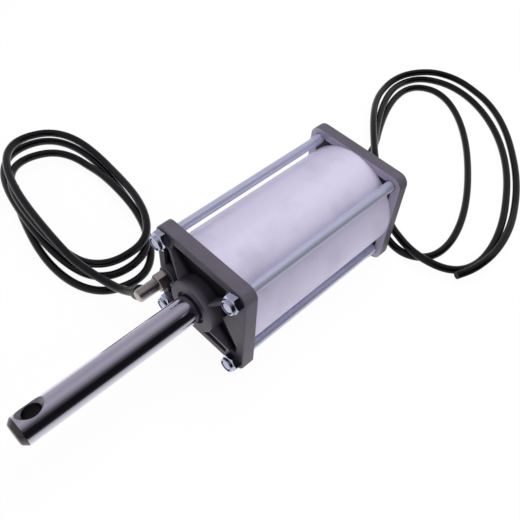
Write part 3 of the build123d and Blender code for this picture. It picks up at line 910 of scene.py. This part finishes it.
def turn_rod(*finishes):
    """Turn the rod and cut its cross hole; the finishes are for shank, end bevel, countersinks and bore."""
    bevel_slot, countersink_slot, bore_slot = range(1, len(finishes))
    rod = settings("rod")
    radius = ROD[1].y
    end = ROD[1].x
    seat = end - rod.shank_length
    stud = rod.stud / 2
    tail = [(ROD[0].x, stud - STUD_BEVEL), (ROD[0].x + STUD_BEVEL, stud), (seat, stud), (seat, radius)]
    bevel = [(end - rod.end_bevel, radius), (end, radius - rod.end_drop)]
    corners = [(seat, radius), *bevel, (end, END_CENTRE)]
    body = lathe(tail + rounded_profile(corners, rod.end_round)[1:], ROD_FACETS)
    lean = Vector((0.0, -sin(rod.eye_lean), cos(rod.eye_lean)))
    raising = Vector((1, 0, 0)).rotation_difference(lean).to_matrix().to_4x4()
    place = Matrix.Translation((end - rod.eye_from_end, 0.0, 0.0)) @ raising
    mouth = rod.eye_mouth / 2
    bore = rod.eye / 2
    cut = []
    for side in (-1, 1):
        outer = (side * (radius + CUTTER_REACH), mouth + CUTTER_REACH)
        flare = [outer, (side * (radius - mouth + bore), bore)]
        cut += flare if side < 0 else flare[::-1]
    cutter = lathe(cut, EYE_FACETS, place)
    for face in cutter.polygons:
        in_bore = abs((place.inverted() @ face.center).x) < BORE_MIDDLE
        face.material_index = bore_slot if in_bore else countersink_slot
    for mesh in (body, cutter):
        for finish in finishes:
            mesh.materials.append(finish)
    piece = add_object("polished_rod", body)
    drill = add_object("eye_drill", cutter)
    cutting = piece.modifiers.new("eye", "BOOLEAN")
    cutting.operation = "DIFFERENCE"
    cutting.object = drill
    drilled = bpy.data.meshes.new_from_object(piece.evaluated_get(bpy.context.evaluated_depsgraph_get()))
    piece.modifiers.clear()
    piece.data = drilled
    bpy.data.objects.remove(drill)
    drilled.polygons.foreach_set("use_smooth", [True] * len(drilled.polygons))
    drilled.set_sharp_from_angle(angle=SHARP_ANGLE)
    for face in drilled.polygons:
        if face.normal.x > BEVEL_FACING and face.center.x > end - rod.end_bevel - BEVEL_MARGIN:
            face.material_index = bevel_slot
    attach(piece, "rod")
    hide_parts("piston_rod")


# Stage

TABLE_REACH = 4.0
TABLE_MIDDLE = (-0.15, 0.0, FLOOR)
# Where across the table polished metal begins to see it darken, and how dim it sees the rest: a painted pool
# of light that only reflections show
POOL_START = 0.02
POOL_DIM = 0.02
ARCH_RADIUS = 1.6
ARCH_REACH = 2.0
ARCH_STRIPS = 32
ARCH_MIDDLE = (-0.1, 0.0, FLOOR)
ARCH_COLOUR = (0.93, 0.9, 1.0, 1.0)
# Places from the arch's -Y foot over its top to its +Y foot, with its shading there
ARCH_STOPS = ((0.0, 0.8), (0.3, 0.56), (0.48, 0.66), (0.6, 0.42), (0.7, 0.12), (0.8, 0.0))
# Place and side length of each lamp, and the place both are aimed at
KEY_LAMP = (Vector((-0.45, -0.1, 1.1)), 0.9)
FILL_LAMP = (Vector((-0.1, 0.9, 0.5)), 0.6)
LAMP_AIM = Vector((-0.08, 0.0, 0.0))
WHITE = (1.0, 1.0, 1.0, 1.0)


# Operators


class SetTable(bpy.types.Operator):
    """Put up the white table, the lamps and the camera"""

    bl_idname = "cylinder.set_table"
    bl_label = "Table, lamps and camera"

    def execute(self, context):
        light = settings("light")
        self.put_camera(context, settings("camera"))
        self.put_table(light)
        self.put_arch(light)
        self.put_lamps(context, light)
        return {"FINISHED"}

    def put_camera(self, context, view):
        """Stand the camera where the object is seen from."""
        back = Vector(
            (sin(view.heading) * cos(view.height), -cos(view.heading) * cos(view.height), sin(view.height))
        )
        right = Vector((cos(view.heading), sin(view.heading), 0.0))
        up = back.cross(right)
        across = right * cos(view.roll) + up * sin(view.roll)
        upward = up * cos(view.roll) - right * sin(view.roll)
        lens = bpy.data.cameras.new("camera")
        lens.lens = view.focal_length
        lens.sensor_width = 36.0
        lens.shift_x, lens.shift_y = view.shift
        lens.clip_start = 0.01
        camera = add_object("camera", lens)
        axes = Matrix((across, upward, back)).transposed().to_4x4()
        camera.matrix_world = Matrix.Translation(view.place) @ axes
        context.scene.camera = camera

    def put_table(self, light):
        """Lay a pale table that reads as white and keeps a soft shadow."""
        shape = bmesh.new()
        bmesh.ops.create_grid(shape, x_segments=8, y_segments=8, size=TABLE_REACH)
        table = add_object("table", finished_mesh("table", shape))
        table.location = TABLE_MIDDLE
        material, tree, shader = new_material("table_white", (0.9, 0.9, 0.9))
        shader.inputs["Roughness"].default_value = 0.6
        shader.inputs["Specular IOR Level"].default_value = 0.1
        glow = tree.nodes.new("ShaderNodeEmission")
        glow.inputs["Color"].default_value = WHITE
        rays = tree.nodes.new("ShaderNodeLightPath")
        # Painted pool of light: to glossy rays the table glows bright on its -Y side and dim towards +Y
        pool = range_node(tree, object_axes(tree)["Y"], (POOL_START, light.pool_reach), onto=(1.0, POOL_DIM))
        strength = range_node(tree, rays.outputs["Is Glossy Ray"], (0.0, 1.0), onto=(1.0, pool))
        tree.links.new(strength, glow.inputs["Strength"])
        seen = math_node(tree, "MAXIMUM", rays.outputs["Is Camera Ray"], rays.outputs["Is Transmission Ray"])
        share = math_node(tree, "MULTIPLY", seen, light.table_glow)
        share = math_node(tree, "MAXIMUM", share, rays.outputs["Is Glossy Ray"])
        mixer = tree.nodes.new("ShaderNodeMixShader")
        tree.links.new(share, mixer.inputs["Fac"])
        tree.links.new(shader.outputs[0], mixer.inputs[1])
        tree.links.new(glow.outputs[0], mixer.inputs[2])
        tree.links.new(mixer.outputs[0], tree.nodes["Material Output"].inputs["Surface"])
        table.data.materials.append(material)

    def put_arch(self, light):
        """Stand a glowing arch, no lamp, that only polished surfaces mirror: painted reflections, bright on
        the -Y side and dark on the +Y side.
        """
        shape = bmesh.new()
        rings = []
        for end in (-ARCH_REACH, ARCH_REACH):
            ring = []
            for step in range(ARCH_STRIPS + 1):
                angle = pi * step / ARCH_STRIPS
                ring.append(shape.verts.new((end, -ARCH_RADIUS * cos(angle), ARCH_RADIUS * sin(angle))))
            rings.append(ring)
        for step in range(ARCH_STRIPS):
            corners = (rings[0][step], rings[0][step + 1], rings[1][step + 1], rings[1][step])
            shape.faces.new(corners).smooth = True
        arch = add_object("arch", finished_mesh("arch", shape))
        arch.location = ARCH_MIDDLE
        for ray in ("camera", "diffuse", "transmission", "volume_scatter", "shadow"):
            setattr(arch, f"visible_{ray}", False)
        # Painted reflection: the arch glows without being a lamp
        material, tree, _ = new_material("arch_glow", (0.0, 0.0, 0.0))
        place = object_axes(tree)
        turn = math_node(tree, "ARCTAN2", place["Y"], place["Z"])
        ramp = tree.nodes.new("ShaderNodeValToRGB")
        tree.links.new(range_node(tree, turn, (-pi / 2, pi / 2)), ramp.inputs["Fac"])
        elements = ramp.color_ramp.elements
        while len(elements) < len(ARCH_STOPS):
            elements.new(0.5)
        for element, (at, value) in zip(elements, ARCH_STOPS):
            element.position = at
            element.color = (value, value, value, 1.0)
        glow = tree.nodes.new("ShaderNodeEmission")
        glow.inputs["Color"].default_value = ARCH_COLOUR
        limits = (light.arch_dark, light.arch_bright)
        level = range_node(tree, ramp.outputs["Color"], (0.0, 1.0), onto=limits)
        tree.links.new(level, glow.inputs["Strength"])
        tree.links.new(glow.outputs[0], tree.nodes["Material Output"].inputs["Surface"])
        arch.data.materials.append(material)

    def put_lamps(self, context, light):
        """Hang the lamps and light the sky."""
        for name, (place, size), power in (
            ("key", KEY_LAMP, light.key_power),
            ("fill", FILL_LAMP, light.fill_power),
        ):
            lamp = bpy.data.lights.new(name, "AREA")
            lamp.shape = "SQUARE"
            lamp.size = size
            lamp.energy = power
            holder = add_object(name, lamp)
            holder.location = place
            holder.rotation_euler = (LAMP_AIM - place).to_track_quat("-Z", "Y").to_euler()
            holder.visible_glossy = False
        world = bpy.data.worlds.new("sky")
        context.scene.world = world
        world.use_nodes = True
        tree = world.node_tree
        surface = tree.nodes["Background"]
        surface.inputs["Color"].default_value = WHITE
        rays = tree.nodes.new("ShaderNodeLightPath")
        strength = range_node(tree, rays.outputs["Is Camera Ray"], (0.0, 1.0), onto=(light.sky, 1.0))
        tree.links.new(strength, surface.inputs["Strength"])


class LayHoses(bpy.types.Operator):
    """Lay the two black hoses from their elbows into loose turns on the table"""

    bl_idname = "cylinder.lay_hoses"
    bl_label = "Air hoses"

    def execute(self, context):
        hoses = settings("hoses")
        hose_plastic()
        lay_hose(
            "front_hose", FRONT_EXIT, FRONT_LEAD, FRONT_TURNS, FRONT_SWEEP,
            oval=hoses.front_ovals, end_below=True,
            replaced=("front_hose_lead", "front_hose_coil"),
        )
        lay_hose(
            "rear_hose", REAR_EXIT, REAR_LEAD, REAR_TURNS, REAR_SWEEP,
            oval=hoses.rear_ovals, end_below=False,
            replaced=("rear_hose_lead", "rear_hose_coil"),
        )
        return {"FINISHED"}


class FinishCovers(bpy.types.Operator):
    """Give the covers and the tube their aluminium"""

    bl_idname = "cylinder.finish_covers"
    bl_label = "Covers and tube"

    def execute(self, context):
        dress(("front_cover", "rear_cover"), cast_aluminium())
        dress(("barrel_tube",), anodised_tube())
        return {"FINISHED"}


class FitTieRods(bpy.types.Operator):
    """Cut the threads of the tie rods and plate them and their lock nuts"""

    bl_idname = "cylinder.fit_tie_rods"
    bl_label = "Tie rods and lock nuts"

    def execute(self, context):
        zinc = bright_zinc("bright_zinc", along=8.0, across=1500.0, rough=(0.26, 0.46), metallic=0.7)
        mesh = tie_rod_mesh()
        mesh.materials.append(zinc)
        rods = add_object("threaded_tie_rods", mesh)
        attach(rods, "cylinder")
        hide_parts("tie_rods")
        nut_zinc = bright_zinc("nut_zinc", along=300.0, across=300.0, rough=(0.12, 0.24), metallic=1.0)
        dress(("tie_rod_nuts", "piston_washer", "piston_nut"), nut_zinc)
        dress(("tie_rod_nut_inserts",), moulded("nut_insert_nylon"))
        return {"FINISHED"}


class FinishRod(bpy.types.Operator):
    """Chrome the rod and finish the piston, its seals and the gland"""

    bl_idname = "cylinder.finish_rod"
    bl_label = "Rod, piston and gland"

    def execute(self, context):
        chrome = hard_chrome()
        steels = [turned_metal(name) for name in ("bevel_steel", "countersink_steel", "bore_painted_shade")]
        turn_rod(chrome, *steels)
        dress(("piston_rod",), chrome)
        dress(("piston",), turned_metal("turned_aluminium"))
        dress(("rod_bush",), turned_metal("turned_bronze"))
        seals = (
            "front_cover_seal", "rear_cover_seal", "rod_seal", "rod_wiper", "piston_rod_ring",
            "front_piston_seal", "rear_piston_seal",
        )
        dress(seals, moulded("black_rubber"))
        dress(("piston_wear_ring",), moulded("wear_ring_plastic"))
        return {"FINISHED"}


class FinishFittings(bpy.types.Operator):
    """Plate the elbows and finish their washers and collars"""

    bl_idname = "cylinder.finish_fittings"
    bl_label = "Port fittings"

    def execute(self, context):
        nickel = nickel_plate()
        for side in ("front", "rear"):
            dress((f"{side}_fitting_stem", f"{side}_fitting_elbow"), nickel)
        dress(("front_port_washer", "rear_port_washer"), turned_metal("washer_steel"))
        dress(("front_hose_collar", "rear_hose_collar"), moulded("collar_plastic"))
        return {"FINISHED"}


class CylinderPanel(bpy.types.Panel):
    """Lists the steps and their settings"""

    bl_idname = "VIEW3D_PT_cylinder"
    bl_label = "Air cylinder"
    bl_space_type = "VIEW_3D"
    bl_region_type = "UI"
    bl_category = "Air cylinder"

    def draw(self, context):
        for step in STEPS:
            self.layout.operator(step.bl_idname)
        for label in GROUPS:
            group = getattr(context.scene, label)
            box = self.layout.box()
            for field in group.__annotations__:
                box.prop(group, field)


STEPS = (SetTable, LayHoses, FinishCovers, FitTieRods, FinishRod, FinishFittings)
GROUPS = {
    "cylinder_camera": CylinderCamera,
    "cylinder_light": CylinderLight,
    "cylinder_hoses": CylinderHoses,
    "cylinder_threads": CylinderThreads,
    "cylinder_finish": CylinderFinish,
    "cylinder_rod": CylinderRod,
}
CLASSES = (*GROUPS.values(), *STEPS, CylinderPanel)


def register():
    """Register the classes and hang the settings on the scene."""
    for kind in CLASSES:
        bpy.utils.register_class(kind)
    for label, kind in GROUPS.items():
        setattr(bpy.types.Scene, label, bpy.props.PointerProperty(type=kind))


def unregister():
    """Take everything off again."""
    for label in GROUPS:
        delattr(bpy.types.Scene, label)
    for kind in reversed(CLASSES):
        bpy.utils.unregister_class(kind)


def main():
    """Make every piece in order."""
    register()
    bpy.context.scene.view_settings.view_transform = "Standard"
    bpy.ops.cylinder.set_table()
    bpy.ops.cylinder.lay_hoses()
    bpy.ops.cylinder.finish_covers()
    bpy.ops.cylinder.fit_tie_rods()
    bpy.ops.cylinder.finish_rod()
    bpy.ops.cylinder.finish_fittings()


if __name__ == "__main__":
    main()
